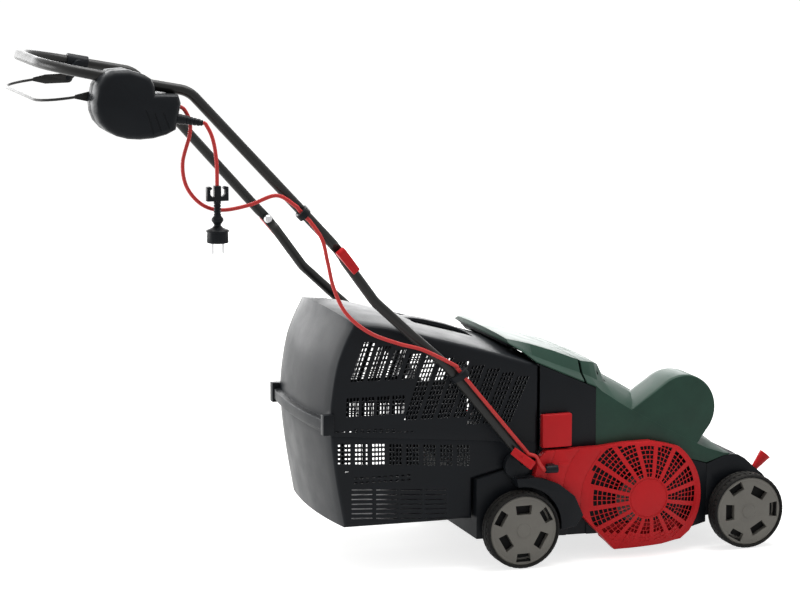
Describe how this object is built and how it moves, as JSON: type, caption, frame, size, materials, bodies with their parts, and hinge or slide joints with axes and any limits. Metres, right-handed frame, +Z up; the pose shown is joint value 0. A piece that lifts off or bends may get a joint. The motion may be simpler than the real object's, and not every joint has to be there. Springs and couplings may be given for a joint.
{
  "type": "electric lawn scarifier",
  "caption": "Walk-behind electric lawn scarifier with a folding tube handle, bladed drum under a deck, rear catcher box, four wheels, mains plug lead and a height lever.",
  "frame": {"origin": "on the ground under the middle of the machine's overall length and width", "axes": "+X towards the front wheels, +Y towards the machine's left-hand side, +Z up"},
  "size_m": [1.4209, 0.5079, 0.9672],
  "materials": {
    "black_plastic": "moulded black plastic with a fine grain",
    "green_plastic": "moulded dark green plastic, satin",
    "red_plastic": "moulded red plastic, satin",
    "grey_plastic": "moulded warm grey plastic, matt",
    "rubber": "black rubber",
    "black_tube": "black painted tube, satin",
    "black_steel": "black painted steel",
    "bright_steel": "zinc plated steel",
    "red_lead": "red flexible lead sheath",
    "motor_iron": "laminated iron and copper"
  },
  "bodies": {
    "chassis": {"deck": "black_plastic", "rear_housing": "black_plastic", "axle_housing": "black_plastic", "motor_hood": "green_plastic", "side_cover_right": "red_plastic", "side_cover_left": "red_plastic", "side_plate_right": "red_plastic", "motor_stator": "motor_iron", "drive_belt": "rubber", "bearing_right": "bright_steel", "bearing_left": "bright_steel", "rear_axle": "bright_steel", "handle_bracket_right": "black_plastic", "handle_bracket_left": "black_plastic", "lead_gland": "black_plastic", "flap_pin": "bright_steel", "flap_spring": "bright_steel"},
    "rear_wheel_right": {"rear_tyre_right": "rubber", "rear_hub_right": "grey_plastic"},
    "rear_wheel_left": {"rear_tyre_left": "rubber", "rear_hub_left": "grey_plastic"},
    "front_wheel_right": {"front_tyre_right": "rubber", "front_hub_right": "grey_plastic"},
    "front_wheel_left": {"front_tyre_left": "rubber", "front_hub_left": "grey_plastic"},
    "front_crank": {"front_crank": "bright_steel", "depth_lever": "red_plastic"},
    "motor_rotor": {"motor_armature": "motor_iron", "motor_pulley": "grey_plastic"},
    "cutter": {"cutter_shaft": "bright_steel", "blade_stack": "black_steel", "cutter_pulley": "grey_plastic"},
    "rear_flap": {"rear_flap": "green_plastic"},
    "catcher": {"catcher_upper": "black_plastic", "catcher_lower": "black_plastic"},
    "lower_handle": {"lower_tube_right": "black_tube", "lower_tube_left": "black_tube", "clamp_bolt_right": "bright_steel", "clamp_bolt_left": "bright_steel", "cable_clip_lower": "black_plastic", "lead_lower": "red_lead", "lead_pivot_bend": "red_lead"},
    "lower_lever_right": {"lower_lever_right": "red_plastic"},
    "lower_lever_left": {"lower_lever_left": "red_plastic"},
    "upper_handle": {"upper_handle_tube": "black_tube", "cable_clip_upper": "black_plastic", "lead_upper": "red_lead", "lead_clamp_bend": "red_lead", "switch_box_outer": "black_plastic", "switch_box_inner": "black_plastic", "microswitch": "grey_plastic", "bail_bracket_left": "black_plastic", "lead_relief": "black_plastic", "plug_lead": "red_lead", "cord_retainer": "black_plastic", "plug": "black_plastic"},
    "clamp_lever_right": {"clamp_lever_right": "red_plastic"},
    "clamp_lever_left": {"clamp_lever_left": "red_plastic"},
    "bail": {"bail": "black_steel"},
    "safety_button": {"safety_button": "red_plastic"}
  },
  "joints": [
    {"name": "rear_wheel_right_spin", "type": "hinge", "parent": "chassis", "child": "rear_wheel_right", "pos_m": [0.18, -0.217, 0.0725], "axis": [0, 1, 0], "continuous": true},
    {"name": "rear_wheel_left_spin", "type": "hinge", "parent": "chassis", "child": "rear_wheel_left", "pos_m": [0.18, 0.217, 0.0725], "axis": [0, 1, 0], "continuous": true},
    {"name": "front_crank_turn", "type": "hinge", "parent": "chassis", "child": "front_crank", "pos_m": [0.60411, 0, 0.11139], "axis": [0, -1, 0], "range_deg": [0, 30]},
    {"name": "front_wheel_right_spin", "type": "hinge", "parent": "front_crank", "child": "front_wheel_right", "pos_m": [0.643, -0.217, 0.0725], "axis": [0, 1, 0], "continuous": true},
    {"name": "front_wheel_left_spin", "type": "hinge", "parent": "front_crank", "child": "front_wheel_left", "pos_m": [0.643, 0.217, 0.0725], "axis": [0, 1, 0], "continuous": true},
    {"name": "cutter_spin", "type": "hinge", "parent": "chassis", "child": "cutter", "pos_m": [0.433, 0, 0.1], "axis": [0, 1, 0], "continuous": true},
    {"name": "motor_spin", "type": "hinge", "parent": "chassis", "child": "motor_rotor", "pos_m": [0.523, 0, 0.272], "axis": [0, 1, 0], "continuous": true},
    {"name": "rear_flap_lift", "type": "hinge", "parent": "chassis", "child": "rear_flap", "pos_m": [0.33, 0, 0.355], "axis": [0, 1, 0], "range_deg": [0, 45], "stiffness_Nm_per_rad": 0.25, "springref_deg": -20.05},
    {"name": "catcher_lift_off", "type": "slide", "parent": "chassis", "child": "catcher", "axis": [-0.9701, 0, 0.2425], "range_m": [0, 0.3]},
    {"name": "lower_handle_fold", "type": "hinge", "parent": "chassis", "child": "lower_handle", "pos_m": [0.191, 0, 0.2], "axis": [0, 1, 0], "range_deg": [0, 115], "deforming": ["lead_pivot_bend"]},
    {"name": "upper_handle_fold", "type": "hinge", "parent": "lower_handle", "child": "upper_handle", "pos_m": [-0.177, 0, 0.615], "axis": [0, -1, 0], "range_deg": [0, 110], "deforming": ["lead_clamp_bend"]},
    {"name": "bail_squeeze", "type": "hinge", "parent": "upper_handle", "child": "bail", "pos_m": [-0.577, 0, 0.905], "axis": [0, 1, 0], "range_deg": [0, 16], "stiffness_Nm_per_rad": 1.5, "springref_deg": -20.05},
    {"name": "safety_button_press", "type": "slide", "parent": "upper_handle", "child": "safety_button", "axis": [0, -1, 0], "range_m": [0, 0.005], "stiffness_N_per_m": 400, "springref_m": -0.003},
    {"name": "lower_lever_right_open", "type": "hinge", "parent": "lower_handle", "child": "lower_lever_right", "pos_m": [0.191, -0.2341, 0.2], "axis": [0.6198, 0, 0.7848], "range_deg": [0, 110]},
    {"name": "clamp_lever_right_open", "type": "hinge", "parent": "lower_handle", "child": "clamp_lever_right", "pos_m": [-0.177, -0.2394, 0.615], "axis": [-0.7859, 0, -0.6184], "range_deg": [0, 110]},
    {"name": "lower_lever_left_open", "type": "hinge", "parent": "lower_handle", "child": "lower_lever_left", "pos_m": [0.191, 0.2341, 0.2], "axis": [-0.6198, 0, -0.7848], "range_deg": [0, 110]},
    {"name": "clamp_lever_left_open", "type": "hinge", "parent": "lower_handle", "child": "clamp_lever_left", "pos_m": [-0.177, 0.2394, 0.615], "axis": [0.7859, 0, 0.6184], "range_deg": [0, 110]}
  ],
  "couplings": [
    {"joint": "motor_spin", "follows": "cutter_spin", "ratio": 3}
  ]
}
